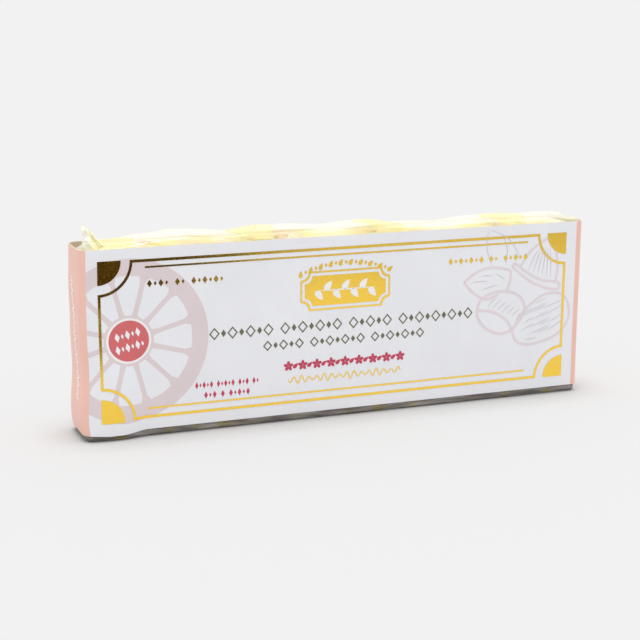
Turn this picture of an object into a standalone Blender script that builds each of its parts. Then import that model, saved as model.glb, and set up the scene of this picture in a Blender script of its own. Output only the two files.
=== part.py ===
"""Nougat bar: soft almond nougat in clear film, standing on its long narrow edge,
with a printed paper band round its front, its two ends and its back.

Scene units are metres. +X runs along the bar, +Y through its thickness from the front
to the back, and +Z is up. The origin is the middle of the footprint, on the surface that
the bar stands on.
"""

import math

import bmesh
import bpy
from mathutils import Matrix, Vector

MM = 0.001

# The paper band: a closed loop of printed card, open above and below.
BAND_LENGTH = 153.0 * MM
BAND_DEPTH = 16.0 * MM
BAND_HEIGHT = 50.0 * MM
BAND_BOTTOM = 2.2 * MM
PAPER = 0.35 * MM
FRONT_CORNER = 2.5 * MM
BACK_CORNER = 3.5 * MM

# The bar in its film fills the band, and shows below and above it.
GAP = 0.3 * MM
BAR_TOP = 53.0 * MM
BAR_EDGE = 1.9 * MM

# The folded end of the film swells the lower left corner of the pack, front and back,
# most a little way in from the end, and sags there.
SWELL = 1.2 * MM
SWELL_FROM_X = -58.0 * MM
SWELL_FULL_X = -66.0 * MM
SWELL_EASES_X = -68.5 * MM
SWELL_AT_END = 0.4
SWELL_FULL_Z = 5.0 * MM
SWELL_NONE_Z = 34.0 * MM
SAG = 0.7 * MM
SAG_NONE_Z = 8.0 * MM

# Dents in the left end of the band: height, half height and depth.
END_DENTS = [
    (0.0 * MM, 6.0 * MM, 0.6 * MM),
    (19.0 * MM, 12.0 * MM, 0.6 * MM),
    (33.0 * MM, 12.0 * MM, 0.3 * MM),
    (52.0 * MM, 15.0 * MM, 0.5 * MM),
]
END_ZONE = 7.0 * MM

# Humps and hollows of the film along the top: place, half length and height.
TOP_HUMPS = [
    (-70.0 * MM, 14.0 * MM, -0.9 * MM),
    (-46.0 * MM, 17.0 * MM, 1.8 * MM),
    (-19.0 * MM, 24.0 * MM, 1.9 * MM),
    (8.0 * MM, 14.0 * MM, 1.4 * MM),
    (50.0 * MM, 20.0 * MM, 0.8 * MM),
    (66.0 * MM, 10.0 * MM, 0.5 * MM),
]
CROWN_FALL = 0.55

# The corner of the film's end fold, which stands up above the band at the left.
EAR_X = -70.4 * MM
EAR_Y = -2.6 * MM
EAR_HALF_LENGTH = 4.4 * MM
EAR_HALF_DEPTH = 2.4 * MM
EAR_ROOT = 49.4 * MM
EAR_TIP = 58.4 * MM
EAR_LEAN = -2.9 * MM
EAR_BLUNTNESS = 0.14

# Spacing of the cuts that let the long faces take these shapes.
STEP_X = 4.0 * MM
STEP_Z = 5.0 * MM

PAPER_COLOUR = (0.72, 0.73, 0.78, 1.0)
FILM_COLOUR = (0.86, 0.76, 0.50, 1.0)


def clear_scene():
    """Remove whatever objects the open file holds."""
    for existing in list(bpy.data.objects):
        bpy.data.objects.remove(existing, do_unlink=True)


def new_collection(name):
    """Make a collection under the scene."""
    collection = bpy.data.collections.new(name)
    bpy.context.scene.collection.children.link(collection)
    return collection


def make_material(name, colour, roughness):
    """A plain Principled finish."""
    material = bpy.data.materials.new(name)
    material.use_nodes = True
    shader = material.node_tree.nodes["Principled BSDF"]
    shader.inputs["Base Color"].default_value = colour
    shader.inputs["Roughness"].default_value = roughness
    shader.inputs["Metallic"].default_value = 0.0
    return material


def add_object(name, bm, collection, material):
    """Turn a bmesh into a smooth-shaded object with one material."""
    mesh = bpy.data.meshes.new(name)
    bm.to_mesh(mesh)
    bm.free()
    mesh.shade_smooth()
    mesh.set_sharp_from_angle(angle=math.radians(40.0))
    mesh.materials.append(material)
    made = bpy.data.objects.new(name, mesh)
    collection.objects.link(made)
    return made


def hump(value, centre, half_width):
    """A smooth hump: 1 at its centre and 0 from half_width away."""
    away = min(abs(value - centre) / half_width, 1.0)
    return 0.5 + 0.5 * math.cos(math.pi * away)


def ramp(value, start, end):
    """A smooth step from 0 at start to 1 at end."""
    along = min(max((value - start) / (end - start), 0.0), 1.0)
    return along * along * (3.0 - 2.0 * along)


def swollen(x):
    """How much of the swelling is reached here: 0 along most of the pack."""
    ease = (1.0 - SWELL_AT_END) * ramp(x, SWELL_EASES_X, -BAND_LENGTH / 2)
    return ramp(x, SWELL_FROM_X, SWELL_FULL_X) * (1.0 - ease)


def end_dent(x, z):
    """How far the left end is dented inwards here."""
    depth = sum(size * hump(z, centre, half) for centre, half, size in END_DENTS)
    return depth * ramp(x, -BAND_LENGTH / 2 + END_ZONE, -BAND_LENGTH / 2)


def pack_shape(point):
    """Move a point of the plain rounded box to its place on the squeezed pack."""
    x, y, z = point
    swell = SWELL * swollen(x) * (1.0 - ramp(z, SWELL_FULL_Z, SWELL_NONE_Z))
    sag = SAG * swollen(x) * (1.0 - ramp(z, BAND_BOTTOM, SAG_NONE_Z)) * min(z / BAND_BOTTOM, 1.0)
    return Vector((x + end_dent(x, z), y * (1.0 + swell / (BAND_DEPTH / 2)), z - sag))


def top_shape(point):
    """Lift the upper film of the bar into its humps, highest along the middle."""
    lift = sum(height * hump(point.x, centre, half) for centre, half, height in TOP_HUMPS)
    crown = 1.0 - CROWN_FALL * (point.y / (BAND_DEPTH / 2)) ** 2
    share = ramp(point.z, BAND_BOTTOM + BAND_HEIGHT - 2 * STEP_Z, BAR_TOP)
    return point + Vector((0.0, 0.0, lift * crown * share))


def box_mesh(length, depth, bottom, top):
    """A box centred on the Z axis, as a bmesh."""
    bm = bmesh.new()
    place = Vector((0.0, 0.0, (bottom + top) / 2))
    size = Vector((length, depth, top - bottom))
    bmesh.ops.create_cube(bm, size=1.0, matrix=Matrix.LocRotScale(place, None, size))
    return bm


def upright_edges(bm, front):
    """The box's upright corner edges, at the front or at the back."""
    side = -1.0 if front else 1.0
    chosen = []
    for edge in bm.edges:
        first, second = edge.verts
        is_upright = abs(first.co.z - second.co.z) > BAND_HEIGHT / 2
        if is_upright and first.co.y * side > 0.0:
            chosen.append(edge)
    return chosen


def round_edges(bm, edges, radius, segments):
    """Round some edges of a bmesh."""
    bmesh.ops.bevel(
        bm, geom=edges, offset=radius, offset_type="OFFSET", segments=segments,
        profile=0.5, affect="EDGES")


def slice_mesh(bm, axis, first, last, step):
    """Cut a bmesh by evenly spaced planes square to an axis."""
    count = max(1, round((last - first) / step))
    normal = Vector([1.0 if index == axis else 0.0 for index in range(3)])
    for index in range(count + 1):
        place = normal * (first + (last - first) * index / count)
        geometry = bm.verts[:] + bm.edges[:] + bm.faces[:]
        bmesh.ops.bisect_plane(
            bm, geom=geometry, dist=1e-7, plane_co=place, plane_no=normal)


def slice_pack(bm):
    """Give a piece of the pack the cuts that its shape needs."""
    half = BAND_LENGTH / 2 - END_ZONE
    slice_mesh(bm, 0, -half, half, STEP_X)
    slice_mesh(bm, 2, BAND_BOTTOM + STEP_Z / 2, BAND_BOTTOM + BAND_HEIGHT - STEP_Z / 2, STEP_Z)


def make_band(collection, material):
    """The paper loop: a rounded tube of rectangular plan, thickened inwards."""
    bm = box_mesh(BAND_LENGTH, BAND_DEPTH, BAND_BOTTOM, BAND_BOTTOM + BAND_HEIGHT)
    caps = [face for face in bm.faces if abs(face.normal.z) > 0.5]
    bmesh.ops.delete(bm, geom=caps, context="FACES")
    round_edges(bm, upright_edges(bm, front=True), FRONT_CORNER, segments=4)
    round_edges(bm, upright_edges(bm, front=False), BACK_CORNER, segments=4)
    slice_pack(bm)
    for vertex in bm.verts:
        vertex.co = pack_shape(vertex.co)
    band = add_object("band", bm, collection, material)
    thickness = band.modifiers.new("paper", "SOLIDIFY")
    thickness.thickness = PAPER
    thickness.offset = -1.0
    thickness.use_even_offset = True
    return band


def make_ear(collection, material):
    """The stiff folded corner of film, as a leaning four-sided spike."""
    bm = bmesh.new()
    bmesh.ops.create_cone(
        bm, cap_ends=True, segments=4, radius1=math.sqrt(2.0),
        radius2=math.sqrt(2.0) * EAR_BLUNTNESS, depth=1.0,
        matrix=Matrix.Rotation(math.radians(45.0), 4, "Z"))
    for vertex in bm.verts:
        above_root = vertex.co.z + 0.5
        vertex.co.x = EAR_X + vertex.co.x * EAR_HALF_LENGTH + above_root * EAR_LEAN
        vertex.co.y = EAR_Y + vertex.co.y * EAR_HALF_DEPTH
        vertex.co.z = EAR_ROOT + above_root * (EAR_TIP - EAR_ROOT)
    ear = add_object("ear_shape", bm, collection, material)
    ear.hide_render = True
    ear.display_type = "WIRE"
    return ear


def make_wrapped_bar(collection, cutters, material):
    """The nougat in its clear film, as one solid out to the film."""
    inset = 2 * (PAPER + GAP)
    bm = box_mesh(BAND_LENGTH - inset, BAND_DEPTH - inset, 0.0, BAR_TOP)
    round_edges(bm, upright_edges(bm, front=True), FRONT_CORNER, segments=3)
    round_edges(bm, upright_edges(bm, front=False), BACK_CORNER, segments=3)
    rims = [edge for edge in bm.edges if edge.calc_face_angle(0.0) > math.radians(60.0)]
    round_edges(bm, rims, BAR_EDGE, segments=3)
    slice_pack(bm)
    slice_mesh(bm, 1, -BAND_DEPTH / 4, BAND_DEPTH / 4, BAND_DEPTH / 4)
    for vertex in bm.verts:
        vertex.co = top_shape(pack_shape(vertex.co))
    bar = add_object("wrapped_bar", bm, collection, material)
    join = bar.modifiers.new("ear", "BOOLEAN")
    join.operation = "UNION"
    join.solver = "EXACT"
    join.object = make_ear(cutters, material)
    return bar


def main():
    clear_scene()
    parts = new_collection("nougat_bar")
    cutters = new_collection("cutters")
    make_band(parts, make_material("printed_paper", PAPER_COLOUR, 0.45))
    make_wrapped_bar(parts, cutters, make_material("film_over_nougat", FILM_COLOUR, 0.25))


main()
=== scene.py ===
"""Looks of the nougat bar: a printed paper band round nougat in clear film.

Places on the print are in millimetres on the band's flat sheet: s runs to the right from
the middle of the front, and t runs up from the middle of the band. All else is in metres.
"""

import math

import bmesh
import bpy
from mathutils import Matrix, Vector, noise


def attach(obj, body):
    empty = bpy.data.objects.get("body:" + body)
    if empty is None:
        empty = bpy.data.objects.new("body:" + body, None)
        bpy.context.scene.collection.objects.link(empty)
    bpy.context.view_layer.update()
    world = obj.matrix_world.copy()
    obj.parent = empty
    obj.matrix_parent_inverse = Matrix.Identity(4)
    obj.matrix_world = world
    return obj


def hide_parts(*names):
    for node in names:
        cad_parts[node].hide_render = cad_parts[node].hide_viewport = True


MM = 0.001

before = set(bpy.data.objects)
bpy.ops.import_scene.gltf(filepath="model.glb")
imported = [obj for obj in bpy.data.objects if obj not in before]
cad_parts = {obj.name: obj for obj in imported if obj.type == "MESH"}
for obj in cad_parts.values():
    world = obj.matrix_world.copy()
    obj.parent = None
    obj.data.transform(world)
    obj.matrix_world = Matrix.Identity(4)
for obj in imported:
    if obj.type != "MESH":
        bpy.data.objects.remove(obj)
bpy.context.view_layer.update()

# The pack as the CAD makes it.
BAND_LENGTH = 153.0 * MM
BAND_DEPTH = 16.0 * MM
BAND_BOTTOM = 2.2 * MM
BAND_TOP = 52.2 * MM
BAND_MIDDLE = (BAND_BOTTOM + BAND_TOP) / 2
PAPER = 0.35 * MM
GAP = 0.3 * MM
FRONT_CORNER = 2.5 * MM
BACK_CORNER = 3.5 * MM
BAR_TOP = 53.0 * MM
SWELL = 1.2 * MM
SWELL_FROM_X = -58.0 * MM
SWELL_FULL_X = -66.0 * MM
SWELL_EASES_X = -68.5 * MM
SWELL_AT_END = 0.4
SWELL_FULL_Z = 5.0 * MM
SWELL_NONE_Z = 34.0 * MM
SAG = 0.7 * MM
SAG_NONE_Z = 8.0 * MM
END_DENTS = [
    (0.0 * MM, 6.0 * MM, 0.6 * MM),
    (19.0 * MM, 12.0 * MM, 0.6 * MM),
    (33.0 * MM, 12.0 * MM, 0.3 * MM),
    (52.0 * MM, 15.0 * MM, 0.5 * MM),
]
END_ZONE = 7.0 * MM
TOP_HUMPS = [
    (-70.0 * MM, 14.0 * MM, -0.9 * MM),
    (-46.0 * MM, 17.0 * MM, 1.8 * MM),
    (-19.0 * MM, 24.0 * MM, 1.9 * MM),
    (8.0 * MM, 14.0 * MM, 1.4 * MM),
    (50.0 * MM, 20.0 * MM, 0.8 * MM),
    (66.0 * MM, 10.0 * MM, 0.5 * MM),
]
CROWN_FALL = 0.55
PAPER_WAVE = 0.10 * MM

# The printed sheet, in millimetres. The print sits a little left of the band's middle.
PRINT_SHIFT = -0.5
PANEL_HALF = 74.3
FRAME_HALF_S = 70.96
FRAME_HALF_T = 21.9
FRAME_LINE = 0.76
SCOOP = 9.65
CORNER_DISC = 6.45
INNER_LINE = 0.5
INNER_HALF_S = 58.0
INNER_DROP_ABOVE = 1.8
INNER_DROP_BELOW = 2.35
WHEEL_S = -62.8
WHEEL_RADIUS = 22.3
WHEEL_RIM = 4.6
WHEEL_HUB = 6.9
WHEEL_HUB_INNER = 6.15
SPOKES = 12
SPOKE_HALF = 0.66
SPOKE_FOOT_HALF = 0.85
SPOKE_FLARE_HALF = 1.4
BADGE_RADIUS = 5.57
BADGE_TURN = 12.0
PLAQUE_T = 9.8
PLAQUE_HALF_S = 13.65
PLAQUE_HALF_T = 5.6
PLAQUE_SCOOP = 2.5
PLAQUE_LINE = 0.5
PLAQUE_BORDER = 1.35
ARCH_MARKS = 19
ARCH_HALF_S = 13.6
ARCH_TOP_T = 17.5
ARCH_FALL = 2.8
ARCH_SLOPE = 0.41
TITLE_LINE = 0.34
DRAWN_LINE = 0.74
FINE_LINE = 0.18
END_LINE_S = -82.5
FLAP_FROM = 80.0
FLAP_TO = 87.0

# Rows of lozenges: place up the sheet, height, how many in each group, and both ends. The
# badge's rows: place, how many, and half the length.
TITLE_ROWS = [
    (-0.1, 3.5, [7, 7, 5, 9], -38.8, 38.8),
    (-4.7, 3.0, [5, 7, 7], -23.4, 23.4),
]
CRIMSON_ROWS = [
    (-14.2, 2.0, [5, 5, 3, 2], -44.0, -26.4),
    (-17.1, 2.0, [3, 1, 5], -41.4, -29.2),
]
GOLD_ROWS = [
    (15.2, 2.0, [4, 2, 6], -56.8, -36.6),
    (15.4, 2.0, [7, 2, 5], 32.8, 57.4),
]
BADGE_ROWS = [(1.7, [5], 2.9), (-1.7, [6], 3.5)]
ROW_GAP = 0.9
BLOSSOM_MARKS = 17
BLOSSOM_HALF_S = 17.2
BLOSSOM_T = -11.1
BLOSSOM_RADIUS = 1.5
WAVY_HALF_S = 17.3
WAVY_T = -15.2
WAVY_SWING = 1.1
WAVY_PITCH = 2.3
WAVY_LINE = 0.32

# Height of each ink above the paper in millimetres, and the ink's own thickness. The ink
# on the right end lies on the glued overlap.
INK = 0.018 * MM
LIFTS = {
    "blush": 0.006,
    "whole": 0.026,
    "half": 0.031,
    "shell": 0.036,
    "halo": 0.03,
    "badge": 0.052,
    "words": 0.03,
    "gold": 0.05,
    "top": 0.074,
    "flap": 0.37,
}

# The film, the ear of its end fold, and the nougat. A body is how far plain film hides.
FILM_TUCK = 2.5 * MM
FILM_TUCK_UP = 0.5 * MM
FILM_TUCK_IN = 0.8 * MM
FILM_DROP_LEFT = 2.0 * MM
FILM_DROP_RIGHT = 0.6 * MM
FILM_CORNER = 1.6 * MM
FILM_FOOT = 0.6 * MM
OVAL_PITCH = 39.7 * MM
OVAL_PLACE = -66.1 * MM
OVAL_HALF = 6.0 * MM
OVAL_REACH = 7.5 * MM
# The front slope of the film's top, where a darker tan is painted shade.
SLOPE_FROM = -6.9 * MM
SLOPE_TO = -4.4 * MM
# The film low down, under the band, has painted shade from here to there.
PAINTED_SHADE_FROM = 2.4 * MM
PAINTED_SHADE_TO = 3.0 * MM
LEFT_DROP = 1.9 * MM
FILM_TINT = (0.99, 0.96, 0.80)
FILM_OVAL = (0.96, 0.90, 0.43)
FILM_BODY = 0.44
FILM_CREASE = 0.25 * MM
# The ear's film is a brighter copy of the film's colours: painted light, for the glare on the
# ear.
FOLD_PAINTED_BRIGHT_TINT = (1.0, 0.995, 0.93)
FOLD_PAINTED_BRIGHT_OVAL = (1.0, 0.96, 0.66)
FOLD_BODY = 0.50
FOLD_CREASE = 0.02 * MM
EAR_FOOT_LEFT = -74.6 * MM
EAR_FOOT_RIGHT = -64.6 * MM
EAR_FOOT_Z = 50.6 * MM
EAR_TIP_LEFT = -73.6 * MM
EAR_TIP_RIGHT = -71.0 * MM
EAR_TIP_Z = 58.1 * MM
EAR_FALL = 2.4 * MM
EAR_Y = -3.0 * MM
EAR_LEAN = 3.6 * MM
EAR_STEPS = 22
EAR_FILM = 0.06 * MM
NOUGAT_LEFT = -70.5 * MM
NOUGAT_RIGHT = 73.5 * MM
NOUGAT_HALF = 6.9 * MM
NOUGAT_UNDER_FILM = 1.3 * MM
NOUGAT_ROUND = 2.0 * MM
NOUGAT_INSET = 1.2 * MM
NOUGAT_CORNER = 1.0 * MM
NOUGAT_FOOT = 0.35 * MM
ALMONDS = 15
ALMOND_SIZE = Vector((7.0, 3.6, 2.2)) * MM
ALMOND_DEPTH = 1.75 * MM

# Cards that only gloss and foil mirror, each dark on one side and fading away at its middle.
DARK_CARD_PLACE = Vector((48.5, -225.7, 2.0)) * MM
DARK_CARD_SIZE = Vector((420.0, 235.0, 1.0)) * MM
DARK_CARD_TURN = 35.2
DIM_CARD_PLACE = Vector((200.0, -206.0, 1.5)) * MM
DIM_CARD_SIZE = Vector((280.0, 400.0, 1.0)) * MM
DIM_CARD_TURN = 90.0
DIM_CARD_STRENGTH = 0.3
CARD_FADE = 28.0 * MM
CARD_COLOUR = (0.032, 0.018, 0.010, 1.0)

# The floor, the light, and the camera fitted to the photograph.
FLOOR_COLOUR = (0.60, 0.60, 0.60, 1.0)
DOME_STRENGTH = 0.888
LAMP_STRENGTH = 1.86
LAMP_SPREAD = 30.0
CAMERA_PLACE = Vector((-162.1, -388.4, 120.4)) * MM
CAMERA_YAW = 22.02
CAMERA_PITCH = 12.61
CAMERA_ROLL = 0.33
CAMERA_LENS = 84.4
CAMERA_SENSOR = 36.0


# ---- shapes of the pack


def hump(value, centre, half_width):
    """A smooth hump: 1 at its centre and 0 from half_width away."""
    away = min(abs(value - centre) / half_width, 1.0)
    return 0.5 + 0.5 * math.cos(math.pi * away)


def ramp(value, start, end):
    """A smooth step from 0 at start to 1 at end."""
    along = min(max((value - start) / (end - start), 0.0), 1.0)
    return along * along * (3.0 - 2.0 * along)


def swollen(x):
    """How much of the swelling is reached here: 0 along most of the pack."""
    ease = (1.0 - SWELL_AT_END) * ramp(x, SWELL_EASES_X, -BAND_LENGTH / 2)
    return ramp(x, SWELL_FROM_X, SWELL_FULL_X) * (1.0 - ease)


def pack_shape(point):
    """Move a point of the plain rounded box to its place on the squeezed pack."""
    x, y, z = point
    swell = SWELL * swollen(x) * (1.0 - ramp(z, SWELL_FULL_Z, SWELL_NONE_Z))
    sag = SAG * swollen(x) * (1.0 - ramp(z, BAND_BOTTOM, SAG_NONE_Z)) * min(z / BAND_BOTTOM, 1.0)
    dent = sum(size * hump(z, centre, half) for centre, half, size in END_DENTS)
    dent *= ramp(x, -BAND_LENGTH / 2 + END_ZONE, -BAND_LENGTH / 2)
    return Vector((x + dent, y * (1.0 + swell / (BAND_DEPTH / 2)), z - sag))


def top_lift(x, y):
    """How far the upper film is lifted into its humps here."""
    lift = sum(height * hump(x, centre, half) for centre, half, height in TOP_HUMPS)
    return lift * (1.0 - CROWN_FALL * (y / (BAND_DEPTH / 2)) ** 2)


def outline(s):
    """Point and outward direction of the band's plan, s metres round from the front's middle."""
    side = 1.0 if s >= 0.0 else -1.0
    front = BAND_LENGTH / 2 - FRONT_CORNER
    end = BAND_DEPTH - FRONT_CORNER - BACK_CORNER
    rest = abs(s)
    if rest < front:
        return Vector((s, -BAND_DEPTH / 2, 0.0)), Vector((0.0, -1.0, 0.0))
    rest -= front
    if rest < FRONT_CORNER * math.pi / 2:
        out = Vector((math.sin(rest / FRONT_CORNER), -math.cos(rest / FRONT_CORNER), 0.0))
        centre = Vector((front, FRONT_CORNER - BAND_DEPTH / 2, 0.0))
        place = centre + out * FRONT_CORNER
    elif rest < FRONT_CORNER * math.pi / 2 + end:
        rest -= FRONT_CORNER * math.pi / 2
        out = Vector((1.0, 0.0, 0.0))
        place = Vector((BAND_LENGTH / 2, FRONT_CORNER - BAND_DEPTH / 2 + rest, 0.0))
    elif rest < FRONT_CORNER * math.pi / 2 + end + BACK_CORNER * math.pi / 2:
        angle = (rest - FRONT_CORNER * math.pi / 2 - end) / BACK_CORNER
        out = Vector((math.cos(angle), math.sin(angle), 0.0))
        centre = Vector((BAND_LENGTH / 2 - BACK_CORNER, BAND_DEPTH / 2 - BACK_CORNER, 0.0))
        place = centre + out * BACK_CORNER
    else:
        rest -= FRONT_CORNER * math.pi / 2 + end + BACK_CORNER * math.pi / 2
        out = Vector((0.0, 1.0, 0.0))
        place = Vector((BAND_LENGTH / 2 - BACK_CORNER - rest, BAND_DEPTH / 2, 0.0))
    return Vector((place.x * side, place.y, 0.0)), Vector((out.x * side, out.y, 0.0))


HALF_ROUND = (BAND_LENGTH - FRONT_CORNER - BACK_CORNER
              + (FRONT_CORNER + BACK_CORNER) * math.pi / 2
              + BAND_DEPTH - FRONT_CORNER - BACK_CORNER)


def paper_point(s, z, lift):
    """A point on the band's outer face, lift metres proud of the paper."""
    s -= 2 * HALF_ROUND * math.floor(s / (2 * HALF_ROUND) + 0.5)
    place, out = outline(s)
    wave = PAPER_WAVE * noise.noise(Vector((place.x, place.y, z)) * 45.0)
    point = place + out * (wave + lift)
    point.z = z
    return pack_shape(point)


def stations(stops):
    """Places from stop to stop, evenly spaced inside each stretch: (from, step), ..., end."""
    places = []
    for (start, step), (end, _) in zip(stops, stops[1:]):
        count = max(1, round((end - start) / step))
        places += [start + (end - start) * index / count for index in range(count)]
    return places + [stops[-1][0]]


# Cuts round the sheet and up it: fine where it turns or swells, coarse elsewhere.
ROUND_STATIONS = stations([
    (-HALF_ROUND / MM, 3.0), (-111.5, 0.75), (-93.4, 0.6), (-87.9, 1.2), (-77.9, 0.4),
    (PRINT_SHIFT - PANEL_HALF, 0.75), (-57.0, 3.0), (PRINT_SHIFT + PANEL_HALF, 0.4),
    (77.9, 1.2), (87.9, 0.6), (93.4, 3.0), (HALF_ROUND / MM, 0)])
UP_STATIONS = stations([(BAND_BOTTOM / MM, 0.8), (8.2, 2.0), (BAND_TOP / MM, 0)])


# ---- mesh helpers


def add_piece(name, bm, materials, smooth_angle=40.0):
    """Turn a bmesh into a piece that rides with the object."""
    mesh = bpy.data.meshes.new(name)
    bm.to_mesh(mesh)
    bm.free()
    mesh.shade_smooth()
    mesh.set_sharp_from_angle(angle=math.radians(smooth_angle))
    for material in materials:
        mesh.materials.append(material)
    piece = bpy.data.objects.new(name, mesh)
    bpy.context.scene.collection.objects.link(piece)
    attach(piece, "root")
    return piece


def thicken(piece, thickness, offset, inner_slots=0, rim_slots=0):
    """Give an open sheet its thickness, with crisp edges all round."""
    solid = piece.modifiers.new("thickness", "SOLIDIFY")
    solid.thickness = thickness
    solid.offset = offset
    solid.use_even_offset = True
    solid.material_offset = inner_slots
    solid.material_offset_rim = rim_slots
    depsgraph = bpy.context.evaluated_depsgraph_get()
    closed = bpy.data.meshes.new_from_object(piece.evaluated_get(depsgraph))
    piece.modifiers.clear()
    piece.data = closed
    closed.set_sharp_from_angle(angle=math.radians(40.0))
    return piece


def add_polygon(bm, points):
    """Add a flat shape to the sheet."""
    bm.faces.new([bm.verts.new((s, 0.0, t)) for s, t in points])


def add_stroke(bm, points, width, taper=False):
    """Add a line of some width along points; with taper it thins to a point at both ends."""
    left, right = [], []
    last = len(points) - 1
    for index, (s, t) in enumerate(points):
        before = points[max(index - 1, 0)]
        after = points[min(index + 1, last)]
        along = Vector((after[0] - before[0], after[1] - before[1])).normalized()
        half = width / 2
        if taper:
            half *= 0.15 + 0.85 * math.sin(math.pi * index / last)
        left.append(bm.verts.new((s - along.y * half, 0.0, t + along.x * half)))
        right.append(bm.verts.new((s + along.y * half, 0.0, t - along.x * half)))
    for index in range(last):
        bm.faces.new([left[index], right[index], right[index + 1], left[index + 1]])


def arc(centre, radius, start, end, step, squash=1.0, turn=0.0):
    """Points along an arc, in degrees; squash flattens it and turn leans it."""
    count = max(2, round(abs(end - start) / step))
    points = []
    for index in range(count + 1):
        angle = math.radians(start + (end - start) * index / count)
        points.append((centre[0] + radius * math.cos(angle),
                       centre[1] + radius * squash * math.sin(angle)))
    return turned(points, centre, turn)


def add_disc(bm, centre, radius, step, squash=1.0, turn=0.0):
    """Add a filled circle or ellipse."""
    add_polygon(bm, arc(centre, radius, 0.0, 360.0, step, squash, turn)[:-1])


def add_ring(bm, centre, inner, outer, step):
    """Add a flat ring."""
    add_stroke(bm, arc(centre, (inner + outer) / 2, 0.0, 360.0, step), outer - inner)


def add_between(bm, outer, inner):
    """Fill between two closed loops of as many points."""
    rows = [[bm.verts.new((s, 0.0, t)) for s, t in loop] for loop in (outer, inner)]
    for index in range(len(outer)):
        ahead = (index + 1) % len(outer)
        bm.faces.new([rows[0][index], rows[0][ahead], rows[1][ahead], rows[1][index]])


def lozenge(centre, width, height):
    """The four corners of an upright lozenge."""
    s, t = centre
    return [(s + width / 2, t), (s, t + height / 2), (s - width / 2, t), (s, t - height / 2)]


def add_outlined_lozenge(bm, centre, width, height, line):
    """Add a lozenge drawn as a line of some width."""
    slope = math.hypot(width, height)
    inner = lozenge(centre, width - 2 * line * slope / height, height - 2 * line * slope / width)
    add_between(bm, lozenge(centre, width, height), inner)


def teardrop(centre, length, width, turn, step):
    """Points round an almond shape, step degrees apart, its tip turned by turn degrees."""
    count = round(360.0 / step)
    points = []
    for index in range(count):
        angle = math.tau * index / count
        across = 0.65 * width * math.sin(angle) * abs(math.sin(angle / 2))
        points.append((centre[0] + length / 2 * math.cos(angle), centre[1] + across))
    return turned(points, centre, turn)


def bow(start, pull, end, count):
    """Points on a curve from start to end in count steps, drawn towards pull."""
    points = []
    for index in range(count + 1):
        share = index / count
        weights = ((1 - share) ** 2, 2 * share * (1 - share), share ** 2)
        points.append(tuple(weights[0] * a + weights[1] * b + weights[2] * c
                            for a, b, c in zip(start, pull, end)))
    return points


def smooth_line(points, closed=False, count=8):
    """A smooth curve through a few points."""
    last = len(points) - 1
    spans = last + 1 if closed else last
    curve = []
    for index in range(spans):
        ends = [points[(index + step) % (last + 1)] if closed
                else points[min(max(index + step, 0), last)] for step in (-1, 0, 1, 2)]
        for part in range(count):
            share = part / count
            curve.append(tuple(between_four(share, *values) for values in zip(*ends)))
    return curve + [points[0] if closed else points[-1]]


def between_four(share, before, start, end, after):
    """A value between start and end that also heeds the values beyond them."""
    slope_in, slope_out = (end - before) / 2, (after - start) / 2
    rest = 1.0 - share
    return (start * rest * rest * (1.0 + 2.0 * share) + end * share * share * (3.0 - 2.0 * share)
            + slope_in * share * rest * rest - slope_out * share * share * rest)


def turned(points, centre, angle):
    """The points turned about a centre, in degrees."""
    cosine, sine = math.cos(math.radians(angle)), math.sin(math.radians(angle))
    return [(centre[0] + (s - centre[0]) * cosine - (t - centre[1]) * sine,
             centre[1] + (s - centre[0]) * sine + (t - centre[1]) * cosine)
            for s, t in points]


def add_blossom(bm, centre, radius):
    """Add a five-petalled blossom."""
    for petal in range(5):
        angle = 90.0 + 72.0 * petal
        middle = (centre[0] + 0.56 * radius * math.cos(math.radians(angle)),
                  centre[1] + 0.56 * radius * math.sin(math.radians(angle)))
        add_disc(bm, middle, 0.42 * radius, squash=0.72, turn=angle, step=24.0)
    add_disc(bm, centre, 0.13 * radius, step=60.0)


def mirrored(points, across, up):
    """The points mirrored left to right, up to down, or both."""
    return [(s * across, t * up) for s, t in points]


def cut_sheet(bm, axis, place, **clear):
    """Cut the flat sheet along a line of constant s (axis 0) or t (axis 2)."""
    normal = Vector([1.0 if index == axis else 0.0 for index in range(3)])
    bmesh.ops.bisect_plane(bm, geom=bm.verts[:] + bm.edges[:] + bm.faces[:], dist=1e-5,
                           plane_co=normal * place, plane_no=normal, **clear)


def cut_where_bent(bm, axis, places):
    """Cut the sheet at each of the places that it reaches across."""
    values = [vertex.co[axis] for vertex in bm.verts]
    low, high = min(values), max(values)
    for place in places:
        if low < place < high:
            cut_sheet(bm, axis, place)


def lay_print(name, bm, material, lift, middle=PRINT_SHIFT):
    """Lay a sheet of flat shapes on the band, as a thin closed layer of ink or foil."""
    bmesh.ops.remove_doubles(bm, verts=bm.verts, dist=1e-4)
    wide = [face for face in bm.faces if len(face.verts) > 4]
    bmesh.ops.triangulate(bm, faces=wide, quad_method="BEAUTY", ngon_method="EAR_CLIP")
    for vertex in bm.verts:
        vertex.co.x += middle
    again = [place + 2 * HALF_ROUND / MM for place in ROUND_STATIONS[1:]]
    cut_where_bent(bm, 0, ROUND_STATIONS + again)
    cut_where_bent(bm, 2, [place - BAND_MIDDLE / MM for place in UP_STATIONS])
    for face in bm.faces:
        face.normal_update()
        if face.normal.y > 0.0:
            face.normal_flip()
    for vertex in bm.verts:
        s, _, t = vertex.co
        vertex.co = paper_point(s * MM, BAND_MIDDLE + t * MM, LIFTS[lift] * MM)
    return thicken(add_piece(name, bm, [material]), INK, 1.0)


# ---- materials


def new_material(name):
    """An empty node material: returns it with its node tree and its Principled shader."""
    material = bpy.data.materials.new(name)
    material.use_nodes = True
    tree = material.node_tree
    return material, tree, tree.nodes["Principled BSDF"]


def set_inputs(node, values):
    """Set a node's inputs by name."""
    for name, value in values.items():
        node.inputs[name].default_value = value


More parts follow.
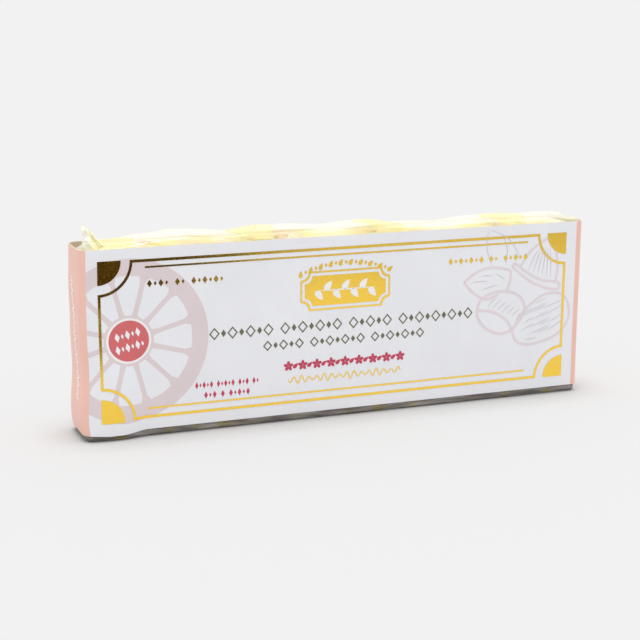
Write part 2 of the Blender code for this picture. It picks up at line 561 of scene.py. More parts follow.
def object_place(tree):
    """The object coordinates, as three sockets."""
    coordinates = tree.nodes.new("ShaderNodeTexCoord")
    split = tree.nodes.new("ShaderNodeSeparateXYZ")
    tree.links.new(coordinates.outputs["Object"], split.inputs["Vector"])
    return split.outputs["X"], split.outputs["Y"], split.outputs["Z"]


def object_noise(tree, scale, detail=3.0, stretch=None):
    """A noise texture in object coordinates, its scale in cycles per metre."""
    coordinates = tree.nodes.new("ShaderNodeTexCoord")
    texture = tree.nodes.new("ShaderNodeTexNoise")
    set_inputs(texture, {"Scale": scale, "Detail": detail})
    source = coordinates.outputs["Object"]
    if stretch:
        mapping = tree.nodes.new("ShaderNodeMapping")
        set_inputs(mapping, {"Scale": stretch})
        tree.links.new(source, mapping.inputs["Vector"])
        source = mapping.outputs["Vector"]
    tree.links.new(source, texture.inputs["Vector"])
    return texture.outputs["Fac"]


def colour_between(tree, factor, low, high, start=0.3, end=0.7):
    """A colour that runs from low to high as the factor runs from start to end."""
    ramp_node = tree.nodes.new("ShaderNodeValToRGB")
    for stop, place, colour in zip(ramp_node.color_ramp.elements, (start, end), (low, high)):
        stop.position = place
        stop.color = (*colour, 1.0)
    tree.links.new(factor, ramp_node.inputs["Fac"])
    return ramp_node.outputs["Color"]


def value_between(tree, factor, low, high, start=0.3, end=0.7):
    """A value that runs from low to high as the factor runs from start to end."""
    mapped = tree.nodes.new("ShaderNodeMapRange")
    set_inputs(mapped, {"From Min": start, "From Max": end, "To Min": low, "To Max": high})
    tree.links.new(factor, mapped.inputs["Value"])
    return mapped.outputs["Result"]


def math_node(tree, operation, *values):
    """One math step on sockets and numbers."""
    step = tree.nodes.new("ShaderNodeMath")
    step.operation = operation
    for place, value in zip(step.inputs, values):
        if isinstance(value, (int, float)):
            place.default_value = value
        else:
            tree.links.new(value, place)
    return step.outputs[0]


def add_bump(tree, shader, height, depth):
    """Raise the surface by depth metres where height is 1."""
    bump = tree.nodes.new("ShaderNodeBump")
    bump.inputs["Distance"].default_value = depth
    tree.links.new(height, bump.inputs["Height"])
    tree.links.new(bump.outputs["Normal"], shader.inputs["Normal"])


def card_material(name, colour, roughness=0.42, mottle=0.02):
    """Smooth coated card or the ink on it: faint mottling and a fine tooth."""
    material, tree, shader = new_material(name)
    clouds = object_noise(tree, 90.0)
    darker = tuple(channel * (1.0 - mottle) for channel in colour)
    lighter = tuple(channel * (1.0 + mottle) for channel in colour)
    tree.links.new(colour_between(tree, clouds, darker, lighter), shader.inputs["Base Color"])
    tooth = object_noise(tree, 5200.0, detail=4.0)
    add_bump(tree, shader, tooth, 0.012 * MM)
    tree.links.new(value_between(tree, tooth, roughness - 0.04, roughness + 0.05),
              shader.inputs["Roughness"])
    shader.inputs["Specular IOR Level"].default_value = 0.35
    return material


def gold_material():
    """Hot-stamped gold foil: bright metal with a fine hammered grain."""
    material, tree, shader = new_material("gold_foil")
    grain = object_noise(tree, 3200.0, detail=5.0)
    tree.links.new(colour_between(tree, grain, (0.98, 0.62, 0.075), (1.0, 0.71, 0.12)),
              shader.inputs["Base Color"])
    tree.links.new(value_between(tree, grain, 0.05, 0.15), shader.inputs["Roughness"])
    add_bump(tree, shader, grain, 0.012 * MM)
    shader.inputs["Metallic"].default_value = 1.0
    return material


def nougat_material():
    """Soft cream nougat: slightly waxy, mottled, with light passing a little way in."""
    material, tree, shader = new_material("nougat")
    clouds = object_noise(tree, 260.0, detail=4.0)
    tree.links.new(colour_between(tree, clouds, (0.91, 0.84, 0.61), (0.97, 0.93, 0.77)),
              shader.inputs["Base Color"])
    pits = object_noise(tree, 900.0, detail=3.0)
    add_bump(tree, shader, pits, 0.15 * MM)
    set_inputs(shader, {"Roughness": 0.5, "Subsurface Weight": 0.25,
                        "Subsurface Scale": 1.5 * MM, "Subsurface Radius": (1.0, 0.75, 0.4)})
    return material


def almond_material():
    """Toasted almond: ivory flesh, with brown skin left on in patches."""
    material, tree, shader = new_material("almond")
    skin = object_noise(tree, 190.0, detail=2.0)
    tree.links.new(colour_between(tree, skin, (0.80, 0.62, 0.36), (0.40, 0.19, 0.07),
                             0.52, 0.60),
              shader.inputs["Base Color"])
    ribs = object_noise(tree, 500.0, detail=3.0, stretch=(0.4, 2.0, 2.0))
    add_bump(tree, shader, ribs, 0.12 * MM)
    shader.inputs["Roughness"].default_value = 0.55
    return material


def printed_ovals(tree, across, deep):
    """1 on the film's yellow ovals, which stand at an even spacing along it."""
    shifted = math_node(tree, "ADD", across, OVAL_PITCH / 2 - OVAL_PLACE)
    saw = math_node(tree, "FRACT", math_node(tree, "DIVIDE", shifted, OVAL_PITCH))
    away = math_node(tree, "ABSOLUTE", math_node(tree, "SUBTRACT", saw, 0.5))
    wander = object_noise(tree, 300.0, detail=2.0)
    away = math_node(tree, "MULTIPLY_ADD", wander, 0.12, away)
    off_centre = math_node(tree, "MULTIPLY", deep, 1.0 / OVAL_REACH)
    rounding = math_node(tree, "MULTIPLY", off_centre, off_centre)
    away = math_node(tree, "MULTIPLY_ADD", rounding, 0.08, away)
    half = OVAL_HALF / OVAL_PITCH + 0.09
    return value_between(tree, away, 1.0, 0.0, half - 0.008, half + 0.008)


def mix_colours(tree, factor, first, second):
    """A mix of two colour sockets."""
    blend = tree.nodes.new("ShaderNodeMix")
    blend.data_type = "RGBA"
    tree.links.new(factor, blend.inputs["Factor"])
    tree.links.new(first, blend.inputs["A"])
    tree.links.new(second, blend.inputs["B"])
    return blend.outputs["Result"]


def film_slope_shade(tree, deep):
    """Where the front slope of the film's top is painted darker, and the tan of that painted
    shade.
    """
    slope = value_between(tree, deep, 1.0, 0.0, SLOPE_FROM, SLOPE_TO)
    blots = object_noise(tree, 420.0, detail=3.0, stretch=(0.16, 1.0, 1.0))
    slope_shade_mask = math_node(tree, "MULTIPLY", slope, value_between(tree, blots, 0.0, 1.0, 0.36, 0.56))
    hue = object_noise(tree, 150.0, detail=1.0, stretch=(0.5, 1.0, 1.0))
    slope_shade_tan = colour_between(tree, hue, (0.88, 0.66, 0.34), (0.86, 0.80, 0.30), 0.42, 0.56)
    return slope_shade_mask, slope_shade_tan


def film_painted_shade(tree):
    """The painted shade of the film under the band: streaky and dark, with darker yellow
    patches.
    """
    streaks = object_noise(tree, 700.0, detail=4.0, stretch=(0.12, 1.0, 1.0))
    grey = colour_between(tree, streaks, (0.14, 0.12, 0.11), (0.54, 0.50, 0.46), 0.40, 0.80)
    yellow = colour_between(tree, streaks, (0.16, 0.13, 0.03), (0.55, 0.48, 0.14), 0.40, 0.80)
    patches = object_noise(tree, 130.0, detail=2.0)
    yellow_patches = value_between(tree, patches, 0.0, 0.75, 0.54, 0.66)
    return mix_colours(tree, yellow_patches, grey, yellow)


def film_cover(tree, body, parts):
    """How far the film hides what lies behind: more at a glance and on the parts given."""
    edge = tree.nodes.new("ShaderNodeLayerWeight")
    edge.inputs["Blend"].default_value = 0.5
    cover = value_between(tree, edge.outputs["Facing"], body, 0.80, 0.45, 0.95)
    for part, most in parts:
        cover = math_node(tree, "MAXIMUM", cover, math_node(tree, "MULTIPLY", part, most))
    return cover


def film_material(name, tint, oval, body, crease):
    """Clear glossy film with soft yellow ovals, and painted shade under the band and on the
    front slope of its top.
    """
    material, tree, shader = new_material(name)
    x, y, z = object_place(tree)
    printed = printed_ovals(tree, x, y)
    # Painted shade: the front slope of the film's top turns a darker tan in blots.
    slope_shade_mask, slope_shade_tan = film_slope_shade(tree, y)
    clear = colour_between(tree, printed, tint, oval, 0.0, 1.0)
    clear = mix_colours(tree, slope_shade_mask, clear, slope_shade_tan)
    # Painted shade: the film's colour turns dark low down, under the band.
    low = value_between(tree, z, 1.0, 0.0, PAINTED_SHADE_FROM, PAINTED_SHADE_TO)
    shade = film_painted_shade(tree)
    tree.links.new(mix_colours(tree, low, clear, shade), shader.inputs["Base Color"])
    # The film is made more opaque where its shade is painted, under the band and on the front
    # slope, so the painted shade shows.
    cover = film_cover(tree, body, ((printed, 0.62), (low, 0.88), (slope_shade_mask, 0.70)))
    tree.links.new(cover, shader.inputs["Alpha"])
    creases = object_noise(tree, 500.0, detail=4.0, stretch=(0.25, 1.0, 1.0))
    add_bump(tree, shader, creases, crease)
    set_inputs(shader, {"Roughness": 0.12, "Specular IOR Level": 0.9})
    return material


# ---- the paper band


def is_white(s):
    """Whether the sheet is white here rather than pink."""
    back = abs(s) > HALF_ROUND / MM - PANEL_HALF
    return back or abs(s - PRINT_SHIFT) < PANEL_HALF


def paper_columns(bm, places, lift):
    """Columns of vertices up the paper, at places round it."""
    return [[bm.verts.new(paper_point(place * MM, up * MM, lift)) for up in UP_STATIONS]
            for place in places]


def add_faces_between(bm, column, following):
    """Faces between two columns of vertices; returns them."""
    return [bm.faces.new([column[up], following[up], following[up + 1], column[up + 1]])
            for up in range(len(column) - 1)]


def make_band():
    """The paper loop: white panels on front and back, pink ends, bare board inside."""
    white = card_material("card_white", (0.845, 0.85, 0.885))
    pink = card_material("card_pink", (0.88, 0.535, 0.45))
    board = card_material("card_inside", (0.66, 0.56, 0.42), roughness=0.8, mottle=0.06)
    bm = bmesh.new()
    columns = paper_columns(bm, ROUND_STATIONS[:-1], 0.0)
    for index, column in enumerate(columns):
        middle = (ROUND_STATIONS[index] + ROUND_STATIONS[index + 1]) / 2
        for face in add_faces_between(bm, column, columns[(index + 1) % len(columns)]):
            face.material_index = 0 if is_white(middle) else 1
    band = add_piece("band_paper", bm, [white, pink, board])
    thicken(band, PAPER, -1.0, inner_slots=2, rim_slots=2)
    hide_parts("band")
    make_flap(pink)


def make_flap(pink):
    """The band's glued overlap, on its right end."""
    bm = bmesh.new()
    columns = paper_columns(bm, stations([(FLAP_FROM, 1.0), (FLAP_TO, 0)]), 0.01 * MM)
    for column, following in zip(columns, columns[1:]):
        add_faces_between(bm, column, following)
    thicken(add_piece("band_flap", bm, [pink]), PAPER, 1.0)


# ---- the print


def frame_lines():
    """The gold frame: a line with scooped corners, corner discs and inner lines."""
    bm = bmesh.new()
    scoop_s, scoop_t = FRAME_HALF_S - SCOOP, FRAME_HALF_T - SCOOP
    half_line = FRAME_LINE / 2
    for across in (-1.0, 1.0):
        rail = [(FRAME_HALF_S - half_line, -scoop_t), (FRAME_HALF_S - half_line, scoop_t)]
        add_stroke(bm, mirrored(rail, across, 1.0), FRAME_LINE)
        for up in (-1.0, 1.0):
            corner = (FRAME_HALF_S, FRAME_HALF_T)
            hollow = arc(corner, SCOOP - half_line, 180.0, 270.0, step=4.5)
            add_stroke(bm, mirrored(hollow, across, up), FRAME_LINE)
            pie = [corner] + arc(corner, CORNER_DISC, 180.0, 270.0, step=6.0)
            add_polygon(bm, mirrored(pie, across, up))
    for up, drop in ((1.0, INNER_DROP_ABOVE), (-1.0, INNER_DROP_BELOW)):
        beam = [(-scoop_s, up * (FRAME_HALF_T - half_line)),
                (scoop_s, up * (FRAME_HALF_T - half_line))]
        add_stroke(bm, beam, FRAME_LINE)
        inner = up * (FRAME_HALF_T - half_line - drop)
        add_stroke(bm, [(-INNER_HALF_S, inner), (INNER_HALF_S, inner)], INNER_LINE)
    return bm


def wheel():
    """The pale wheel: a wide rim, a thin hub ring and spokes with flared feet."""
    bm = bmesh.new()
    centre = (WHEEL_S, 0.0)
    inner = WHEEL_RADIUS - WHEEL_RIM
    add_ring(bm, centre, inner, WHEEL_RADIUS, step=3.0)
    add_ring(bm, centre, WHEEL_HUB_INNER, WHEEL_HUB, step=6.0)
    for index in range(SPOKES):
        angle = 360.0 * (index + 0.5) / SPOKES
        spoke = [(WHEEL_HUB - 0.02, SPOKE_FOOT_HALF), (WHEEL_HUB + 1.7, SPOKE_HALF),
                 (inner - 1.7, SPOKE_HALF), (inner + 0.04, SPOKE_FLARE_HALF)]
        shape = ([(WHEEL_S + reach, -half) for reach, half in spoke]
                 + [(WHEEL_S + reach, half) for reach, half in reversed(spoke)])
        add_polygon(bm, turned(shape, centre, angle))
    cut_sheet(bm, 0, -PANEL_HALF, clear_inner=True)
    return bm


def group_places(groups, low, high, gap):
    """Evenly spaced places in groups: (place, index in its group) pairs, and the spacing."""
    count = sum(groups) + gap * (len(groups) - 1)
    pitch = (high - low) / (count - 1)
    places, start = [], 0.0
    for size in groups:
        places += [(low + (start + index) * pitch, index) for index in range(size)]
        start += size + gap
    return places, pitch


def add_title_row(bm, t, height, groups, low, high):
    """A row of outlined lozenges with filled ones between them."""
    places, pitch = group_places(groups, low, high, ROW_GAP)
    for s, index in places:
        if index % 2 == 0:
            add_outlined_lozenge(bm, (s, t), pitch * 1.15, height, TITLE_LINE)
        else:
            add_polygon(bm, lozenge((s, t), pitch * 0.55, height * 0.6))


def add_small_row(bm, t, height, groups, low, high):
    """A row of small filled lozenges, tall and low by turns."""
    places, pitch = group_places(groups, low, high, ROW_GAP)
    for s, index in places:
        size = 0.6 if index % 2 else 1.0
        add_polygon(bm, lozenge((s, t), pitch * 0.86 * size, height * size))


def title():
    """Two rows of lozenges where the pack's title stands."""
    bm = bmesh.new()
    for row in TITLE_ROWS:
        add_title_row(bm, *row)
    return bm


def crimson_rows():
    """Blossoms and leaves under the title, and a small block at the lower left."""
    bm = bmesh.new()
    places, pitch = group_places([BLOSSOM_MARKS], -BLOSSOM_HALF_S, BLOSSOM_HALF_S, 0)
    for s, index in places:
        if index % 2 == 0:
            add_blossom(bm, (s, BLOSSOM_T), BLOSSOM_RADIUS)
        else:
            add_polygon(bm, teardrop((s, BLOSSOM_T), pitch * 0.9, 1.1, 40.0, step=24.0))
    for row in CRIMSON_ROWS:
        add_small_row(bm, *row)
    return bm


def scooped(half_s, half_t, scoop):
    """A rectangle's outline with scooped corners, about the plaque's middle."""
    points = []
    for across, up, start in ((1, 1, 270.0), (-1, 1, 360.0), (-1, -1, 450.0), (1, -1, 540.0)):
        corner = (across * half_s, up * half_t + PLAQUE_T)
        points += arc(corner, scoop, start, start - 90.0, step=15.0)
    return points


def add_arch(bm):
    """Add an arch of leaves and lozenges over the plaque."""
    for index in range(ARCH_MARKS):
        share = 2.0 * index / (ARCH_MARKS - 1) - 1.0
        spot = (ARCH_HALF_S * share, ARCH_TOP_T - ARCH_FALL * share ** 2)
        lean = -math.degrees(math.atan(ARCH_SLOPE * share))
        if index % 2 == 0:
            add_polygon(bm, teardrop(spot, 2.0, 1.2, lean + 60.0, step=24.0))
        else:
            add_polygon(bm, turned(lozenge(spot, 0.9, 1.2), spot, lean))


def gold_ornaments():
    """The plaque under its arch, the small rows and the wavy line."""
    bm = bmesh.new()
    edge = scooped(PLAQUE_HALF_S, PLAQUE_HALF_T, PLAQUE_SCOOP)
    add_between(bm, edge, scooped(PLAQUE_HALF_S - PLAQUE_LINE, PLAQUE_HALF_T - PLAQUE_LINE,
                                  PLAQUE_SCOOP))
    add_polygon(bm, scooped(PLAQUE_HALF_S - PLAQUE_BORDER, PLAQUE_HALF_T - PLAQUE_BORDER,
                            PLAQUE_SCOOP - 0.3))
    add_arch(bm)
    for row in GOLD_ROWS:
        add_small_row(bm, *row)
    wave = []
    for s in stations([(-WAVY_HALF_S, 0.16), (WAVY_HALF_S, 0)]):
        swing = WAVY_SWING * (0.7 + 0.3 * math.sin(math.tau * s / 7.9))
        wave.append((s, WAVY_T + swing * math.sin(math.tau * s / WAVY_PITCH)))
    add_stroke(bm, wave, WAVY_LINE)
    return bm


def sprig():
    """A white sprig of leaves along the plaque."""
    bm = bmesh.new()
    add_stroke(bm, [(s, PLAQUE_T) for s in stations([(-9.4, 1.2), (9.4, 0)])], 0.36, taper=True)
    for index in range(7):
        up = 1.0 if index % 2 else -1.0
        spot = (-8.0 + 2.7 * index, PLAQUE_T + 1.35 * up)
        add_polygon(bm, teardrop(spot, 3.3, 1.9, 52.0 * up, step=20.0))
    return bm


def badge_marks():
    """Two leaning rows of white lozenges on the badge."""
    bm = bmesh.new()
    centre = (WHEEL_S, 0.0)
    for t, groups, half in BADGE_ROWS:
        places, pitch = group_places(groups, WHEEL_S - half, WHEEL_S + half, 0)
        for s, index in places:
            size = 0.55 if index % 2 else 1.0
            shape = lozenge((s, t), pitch * 0.95 * size, 2.6 * size)
            add_polygon(bm, turned(shape, centre, BADGE_TURN))
    return bm


def halo():
    """The pale ring round the badge."""
    bm = bmesh.new()
    add_ring(bm, (WHEEL_S, 0.0), BADGE_RADIUS - 0.1, WHEEL_HUB_INNER + 0.05, step=6.0)
    return bm


def badge():
    """The red disc on the wheel's hub."""
    bm = bmesh.new()
    add_disc(bm, (WHEEL_S, 0.0), BADGE_RADIUS, step=5.0)
    return bm


# The almond drawing, at the right of the front: whether each outline is closed, and a few
# points along it. The layers lie one over the other.
WHOLE_ALMONDS = [
    (False, [(37.2, 9.0), (41.8, 12.0), (46.7, 12.8), (52.4, 11.7)]),
    (False, [(37.2, 9.0), (40.5, 5.6), (44.5, 3.5), (48.5, 4.6)]),
    (True, [(53.8, -7.2), (54.8, -4.6), (56.8, -1.8), (60.2, 1.4), (64.6, 3.7), (69.5, 3.5),
            (72.4, 0.4), (72.7, -4.2), (70.0, -8.2), (64.5, -10.5), (59.0, -11.3),
            (55.4, -10.2)]),
    (False, [(53.2, 12.5), (58.6, 8.3), (64.0, 5.7), (68.5, 4.8)]),
]
HALF_ALMOND = [
    (True, [(41.8, 0.4), (43.0, 3.4), (47.0, 5.3), (52.5, 5.2), (56.3, 3.1), (57.6, 0.0),
            (56.3, -3.4), (53.2, -6.4), (49.4, -7.2), (45.0, -5.4), (42.4, -2.4)]),
    (False, [(54.3, 13.5), (57.6, 10.9), (62.6, 8.2), (68.7, 7.1)]),
    (False, [(52.5, 11.7), (52.6, 9.0), (51.6, 6.0)]),
]
SHELL_AND_CUT = [
    (False, [(42.0, 0.3), (46.0, -0.2), (49.6, -1.8), (52.3, -4.0), (53.1, -6.0)]),
    (False, [(68.5, 4.9), (69.3, 5.9), (68.7, 7.0)]),
    (False, [(53.3, 12.5), (53.3, 13.3), (54.2, 13.5)]),
    (False, [(55.9, 12.6), (58.0, 15.8), (61.3, 18.7), (64.8, 20.5)]),
    (False, [(67.8, 7.3), (68.3, 12.0), (67.4, 16.8), (64.8, 20.5)]),
]
SHELL_LINES = [
    [(44.8, 24.2), (44.5, 18.5), (46.4, 13.2)],
    [(44.8, 24.2), (50.5, 21.8), (54.0, 18.0), (55.4, 14.6)],
    [(49.6, 22.2), (51.2, 18.0), (50.8, 13.6)],
]
LEAF_STROKES = [
    ((39.5, 8.6), (45.0, 8.8)),
    ((43.0, 6.2), (48.5, 7.4)),
    ((42.5, 10.4), (47.0, 10.2)),
    ((47.5, 10.8), (51.0, 8.6)),
]


def almond_outlines(outlines):
    """Outlines of drawn almonds."""
    bm = bmesh.new()
    for closed, points in outlines:
        add_stroke(bm, smooth_line(points, closed, count=6), DRAWN_LINE)
    return bm


def add_fine_stroke(bm, points):
    """Add a hair line that thins at both ends."""
    add_stroke(bm, points, FINE_LINE, taper=True)


def add_shell_ribs(bm):
    """Add the fanned strokes on the open shell."""
    for index in range(6):
        share = (index + 0.7) / 6.4
        foot = (57.4 + 9.8 * share, 12.2 - 4.2 * share ** 0.6)
        pull = (foot[0] + 2.2 - 2.6 * share, foot[1] + 5.0)
        add_fine_stroke(bm, bow(foot, pull, (61.5 + 4.6 * share, 17.4), 12))


def add_cut_strokes(bm):
    """Add the short bowed strokes on the half almond's skin."""
    for index in range(7):
        s, t = 45.2 + 1.6 * index, 1.2 - 0.75 * index
        add_fine_stroke(bm, bow((s, t), (s + 1.2, t + 1.6), (s + 2.9, t + 2.4), 6))


def add_skin_strokes(bm):
    """Add the long strokes along the whole almond, broken at uneven places."""
    middle, turn = (63.3, -3.7), 24.0
    for index in range(16):
        across = -5.0 + 0.68 * index
        start = (index * 5) % 7 * 1.5 - 7.4
        run = 4.0 + (index * 3) % 5 * 1.1
        points = [(middle[0] + along, middle[1] + across * (1.0 - 0.0045 * (along - 1.0) ** 2))
                  for along in stations([(start, 1.2), (start + run, 0)])]
        add_fine_stroke(bm, turned(points, middle, turn))


def almond_strokes():
    """The fine strokes that shade the drawn almonds."""
    bm = bmesh.new()
    for points in SHELL_LINES:
        add_fine_stroke(bm, smooth_line(points))
    add_shell_ribs(bm)
    add_cut_strokes(bm)
    add_skin_strokes(bm)
    for foot, end in LEAF_STROKES:
        pull = ((foot[0] + end[0]) / 2, (foot[1] + end[1]) / 2 + 0.5)
        add_fine_stroke(bm, bow(foot, pull, end, 6))
    return bm


def end_line(across):
    """The fine wavy line up the middle of an end."""
    bm = bmesh.new()
    points = []
    for t in stations([(-16.2, 0.16), (17.0, 0)]):
        swing = math.sin(math.tau * t / 2.1) * (0.75 + 0.3 * math.sin(math.tau * t / 6.1))
        points.append((across * (END_LINE_S - 0.1 * t + 1.1 * swing), t))
    add_stroke(bm, points, 0.46)
    return bm


def lay_almonds(name, material, middle):
    """Lay the outlines of the almond drawing, layer over layer."""
    for part, outlines, lift in (("_whole_almonds", WHOLE_ALMONDS, "whole"),
                                 ("_half_almond", HALF_ALMOND, "half"),
                                 ("_shell", SHELL_AND_CUT, "shell")):
        lay_print(name + part, almond_outlines(outlines), material, lift, middle)


def print_front():
    """Every colour of the print on the front and the ends."""
    white = card_material("ink_white", (0.90, 0.89, 0.89))
    bright = card_material("ink_end", (1.0, 0.97, 0.97))
    drawn = card_material("ink_drawing", (0.785, 0.69, 0.73))
    fine = card_material("ink_strokes", (0.64, 0.58, 0.61))
    red = card_material("ink_red", (0.66, 0.145, 0.155))
    olive = card_material("ink_olive", (0.155, 0.145, 0.085))
    crimson = card_material("ink_crimson", (0.56, 0.055, 0.12))
    lay_almonds("print", drawn, PRINT_SHIFT)
    lay_print("print_almond_strokes", almond_strokes(), fine, "badge")
    lay_print("print_halo", halo(), white, "halo")
    lay_print("print_badge", badge(), red, "badge")
    lay_print("print_badge_marks", badge_marks(), white, "top")
    lay_print("print_title", title(), olive, "words")
    lay_print("print_crimson", crimson_rows(), crimson, "words")
    lay_print("print_sprig", sprig(), white, "top")
    lay_print("print_left_end", end_line(1.0), bright, "words", middle=0.0)
    lay_print("print_right_end", end_line(-1.0), bright, "flap", middle=0.5)


def print_everything():
    """The print: the front's and the ends', and the plainer back's."""
    gold = gold_material()
    blush = card_material("ink_blush", (0.745, 0.645, 0.66))
    back = HALF_ROUND / MM
    print_front()
    lay_print("print_wheel", wheel(), blush, "blush")
    lay_print("print_gold_frame", frame_lines(), gold, "gold")
    lay_print("print_gold_ornaments", gold_ornaments(), gold, "gold")
    lay_print("print_back_wheel", wheel(), blush, "blush", back)
    lay_print("print_back_frame", frame_lines(), gold, "gold", back)
    lay_almonds("print_back", blush, back)


# ---- nougat and film


def loft(rings):
    """A closed skin through rings of points, with both ends closed.

    Each ring gives as many points as the first one has; the last few of a longer ring lie
    on a straight side and are left out.
    """
    bm = bmesh.new()
    rows = [[bm.verts.new(point) for point in ring] for ring in rings]
    count = len(rows[0])
    for row, following in zip(rows, rows[1:]):
        for index in range(count):
            ahead = (index + 1) % count
            bm.faces.new([row[index], following[index], following[ahead], row[ahead]])
    for row in (rows[0], rows[-1]):
        hub = bm.verts.new(sum((vertex.co for vertex in row), Vector()) / count)
        for index in range(count):
            bm.faces.new([row[index], row[(index + 1) % count], hub])
    bmesh.ops.recalc_face_normals(bm, faces=bm.faces)
    return bm


def section(columns, rise, low, high):
    """Points round a section: along its lower side, up, back along the upper side and down."""
    side = columns[-1]
    points = [(y, low(y)) for y in columns]
    points += [(side, z) for z in rise]
    points += [(y, high(y)) for y in reversed(columns)]
    return points + [(-side, z) for z in reversed(rise)]


def corner_drop(y, half, corner):
    """How far a rounded corner falls at y."""
    over = min(max(abs(y) - (half - corner), 0.0), corner)
    return corner - math.sqrt(max(corner ** 2 - over ** 2, 0.0))


def film_section(x, half, length):
    """One section of the film, drawn in towards the ends of the bar, most at the left."""
    end = min(abs(abs(x) - length) / FILM_TUCK, 1.0)
    tuck = 1.0 - math.sqrt(1.0 - (1.0 - end) ** 2)
    bottom, side = FILM_TUCK_UP * tuck, half - FILM_TUCK_IN * tuck
    top = BAR_TOP - (FILM_DROP_LEFT if x < 0.0 else FILM_DROP_RIGHT) * tuck
    points = section(stations([(-side, 0.5 * MM), (side, 0)]),
                     stations([(bottom + FILM_FOOT, 3.0 * MM), (top - FILM_CORNER, 0)]),
                     lambda y: bottom + corner_drop(y, side, FILM_FOOT),
                     lambda y: top - corner_drop(y, side, FILM_CORNER))
    return [film_point(x, y, z) for y, z in points]


def film_point(x, y, z):
    """Place a point of the film: lifted and creased at the top, and low at the left end."""
    point = pack_shape(Vector((x, y, z)))
    share = ramp(z, BAND_TOP - 6.0 * MM, BAR_TOP)
    crease = noise.noise(Vector((x * 70.0, y * 420.0, z * 420.0)))
    fold = 0.5 - abs(noise.noise(Vector((x * 45.0 + 7.0, y * 190.0 + x * 60.0, 2.0)))) * 2.0
    drop = LEFT_DROP * (1.0 - ramp(x, -BAND_LENGTH / 2 + 1.0 * MM, -BAND_LENGTH / 2 + 8.0 * MM))
    point.z += share * (top_lift(x, y) + 0.2 * MM * crease + 0.45 * MM * fold - drop)
    point.y += 0.18 * MM * crease * share
    return point


def make_film(film):
    """The clear film round the nougat."""
    half = BAND_DEPTH / 2 - PAPER - GAP
    length = BAND_LENGTH / 2 - PAPER - GAP
    places = stations([(-length, 0.5 * MM), (-length + 3 * MM, 1.0 * MM),
                       (length - 3 * MM, 0.5 * MM), (length, 0)])
    rings = [film_section(x, half, length) for x in places]
    shape = loft(rings)
    # The middle of the right end falls beyond the band, and is brought back inside it.
    reach = BAND_LENGTH / 2 - PAPER - 0.1 * MM
    for vertex in shape.verts:
        vertex.co.x = max(-reach, min(reach, vertex.co.x))
    piece = add_piece("film", shape, [film], smooth_angle=60.0)
    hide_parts("wrapped_bar")


def ear_point(across, up):
    """A point of the ear: across runs from its left edge to its right, up to its tip."""
    lean = up ** 0.62
    foot = EAR_FOOT_LEFT + (EAR_FOOT_RIGHT - EAR_FOOT_LEFT) * across
    tip = EAR_TIP_LEFT + (EAR_TIP_RIGHT - EAR_TIP_LEFT) * across
    pleat = math.sin(across * math.tau * 1.75 + 0.6) * (1.1 - 0.7 * up) * MM
    crumple = noise.noise(Vector((across * 5.0, up * 4.0, 3.0)))
    top = EAR_TIP_Z - EAR_FALL * across
    return Vector((foot + (tip - foot) * lean + 0.5 * MM * crumple * up,
                   EAR_Y + EAR_LEAN * (up - 0.5) + pleat + 0.7 * MM * crumple,
                   EAR_FOOT_Z + (top - EAR_FOOT_Z) * up + 0.35 * MM * crumple * up))


def make_ear(film):
    """The folded end of the film, a stiff pleated corner above the band at the left."""
    bm = bmesh.new()
    shares = [step / EAR_STEPS for step in range(EAR_STEPS + 1)]
    rows = [[bm.verts.new(ear_point(across, up)) for across in shares] for up in shares]
    for row, above in zip(rows, rows[1:]):
        add_faces_between(bm, above, row)
    thicken(add_piece("film_ear", bm, [film], smooth_angle=30.0), EAR_FILM, 0.0)


def nougat_top(x, y):
    """Height of the nougat's upper face."""
    rough = noise.noise(Vector((x * 130.0, y * 130.0, 5.0)))
    slow = noise.noise(Vector((x * 40.0, y * 60.0, 9.0)))
    return BAR_TOP - NOUGAT_UNDER_FILM + 0.35 * MM * rough + 0.3 * MM * slow


def nougat_section(x):
    """One section of the nougat."""
    end = min((x - NOUGAT_LEFT) / NOUGAT_ROUND, (NOUGAT_RIGHT - x) / NOUGAT_ROUND, 1.0)
    inset = NOUGAT_INSET * (1.0 - math.sqrt(1.0 - (1.0 - end) ** 2))
    half, bottom = NOUGAT_HALF - inset, NOUGAT_FOOT + inset
    points = section(stations([(-half, 0.8 * MM), (half, 0)]),
                     stations([(bottom + NOUGAT_CORNER, 5.0 * MM), (BAND_TOP - 3.0 * MM, 0)]),
                     lambda y: bottom + corner_drop(y, half, NOUGAT_CORNER),
                     lambda y: nougat_top(x, y) - inset - corner_drop(y, half, NOUGAT_CORNER))
    return [pack_shape(Vector((x, y, z))) for y, z in points]


def make_nougat(material):
    """The nougat inside the film."""
    rings = [nougat_section(x) for x in stations([(NOUGAT_LEFT, 1.0 * MM), (NOUGAT_RIGHT, 0)])]
    add_piece("nougat", loft(rings), [material], smooth_angle=60.0)


def make_almonds(material):
    """Almonds that show in the nougat's upper face."""
    bm = bmesh.new()
    for index in range(ALMONDS):
        x = NOUGAT_LEFT + (NOUGAT_RIGHT - NOUGAT_LEFT) * (index + 0.6) / (ALMONDS + 0.2)
        y = 2.6 * MM * math.sin(index * 2.4)
        size = ALMOND_SIZE * (0.85 + 0.15 * math.sin(index * 1.7))
        turn = Matrix.Rotation(index * 2.1, 4, "Z")
        place = Vector((x, y, nougat_top(x, y) - ALMOND_DEPTH))
        matrix = Matrix.Translation(place) @ turn @ Matrix.Diagonal(size).to_4x4()
        bmesh.ops.create_icosphere(bm, subdivisions=3, radius=1.0, matrix=matrix)
    for vertex in bm.verts:
        vertex.co += Vector((0.0, 0.0, 0.12 * MM)) * noise.noise(vertex.co * 400.0)
    add_piece("almonds", bm, [material], smooth_angle=60.0)


# ---- floor, light and camera


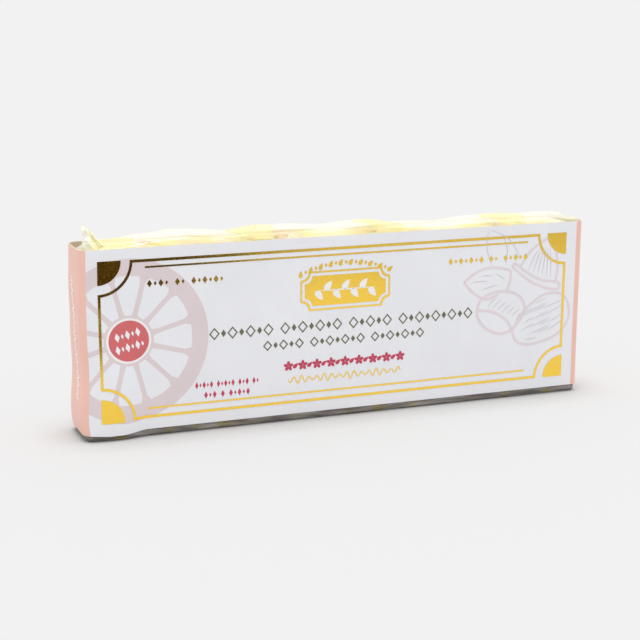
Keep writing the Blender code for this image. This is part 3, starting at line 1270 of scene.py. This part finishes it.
def make_floor():
    """A plain pale floor."""
    bpy.ops.mesh.primitive_plane_add(size=12.0, location=(0.0, 0.0, 0.0))
    floor = bpy.context.object
    floor.name = "floor"
    material, _, shader = new_material("floor")
    set_inputs(shader, {"Base Color": FLOOR_COLOUR, "Roughness": 0.9, "Specular IOR Level": 0.0})
    floor.data.materials.append(material)


def make_card(name, place, size, turn, strength):
    """A dark card in front of the pack, fading at one edge, which only gloss and foil mirror."""
    bpy.ops.mesh.primitive_plane_add(size=1.0)
    card = bpy.context.object
    card.name = name
    rotation = Matrix.Rotation(math.radians(turn), 4, "Z")
    card.matrix_world = Matrix.Translation(place) @ rotation @ Matrix.Diagonal(size).to_4x4()
    material, tree, shader = new_material(name)
    across = object_place(tree)[0]
    fade = CARD_FADE / size.x / 2
    tree.links.new(value_between(tree, across, strength, 0.0, -fade, fade),
              shader.inputs["Alpha"])
    set_inputs(shader, {"Base Color": CARD_COLOUR, "Roughness": 1.0, "Specular IOR Level": 0.0})
    card.data.materials.append(material)
    card.visible_camera = False
    card.visible_diffuse = False
    card.visible_shadow = False
    card.visible_transmission = False


def make_light():
    """An even pale dome and one soft light straight above."""
    world = bpy.data.worlds.new("dome")
    bpy.context.scene.world = world
    world.use_nodes = True
    background = world.node_tree.nodes["Background"]
    set_inputs(background, {"Color": (1.0, 1.0, 1.0, 1.0), "Strength": DOME_STRENGTH})
    lamp = bpy.data.lights.new("overhead", "SUN")
    lamp.energy = LAMP_STRENGTH
    lamp.angle = math.radians(LAMP_SPREAD)
    overhead = bpy.data.objects.new("overhead", lamp)
    bpy.context.scene.collection.objects.link(overhead)


def make_camera():
    """The camera: in front, to the left and a little above."""
    lens = bpy.data.cameras.new("camera")
    lens.lens = CAMERA_LENS
    lens.sensor_width = CAMERA_SENSOR
    lens.clip_start = 0.01
    camera = bpy.data.objects.new("camera", lens)
    bpy.context.scene.collection.objects.link(camera)
    turn = Matrix.Rotation(-math.radians(CAMERA_YAW), 4, "Z")
    tilt = Matrix.Rotation(math.radians(90.0 - CAMERA_PITCH), 4, "X")
    roll = Matrix.Rotation(math.radians(CAMERA_ROLL), 4, "Z")
    camera.matrix_world = Matrix.Translation(CAMERA_PLACE) @ turn @ tilt @ roll
    bpy.context.scene.camera = camera
    bpy.context.scene.view_settings.view_transform = "Standard"


make_band()
print_everything()
make_film(film_material("film", FILM_TINT, FILM_OVAL, FILM_BODY, FILM_CREASE))
# The ear takes the brighter copy of the film's colours, which is painted light.
make_ear(film_material("film_fold", FOLD_PAINTED_BRIGHT_TINT, FOLD_PAINTED_BRIGHT_OVAL, FOLD_BODY, FOLD_CREASE))
make_nougat(nougat_material())
make_almonds(almond_material())
make_floor()
make_card("dark_card", DARK_CARD_PLACE, DARK_CARD_SIZE, DARK_CARD_TURN, 1.0)
make_card("dim_card", DIM_CARD_PLACE, DIM_CARD_SIZE, DIM_CARD_TURN, DIM_CARD_STRENGTH)
make_light()
make_camera()
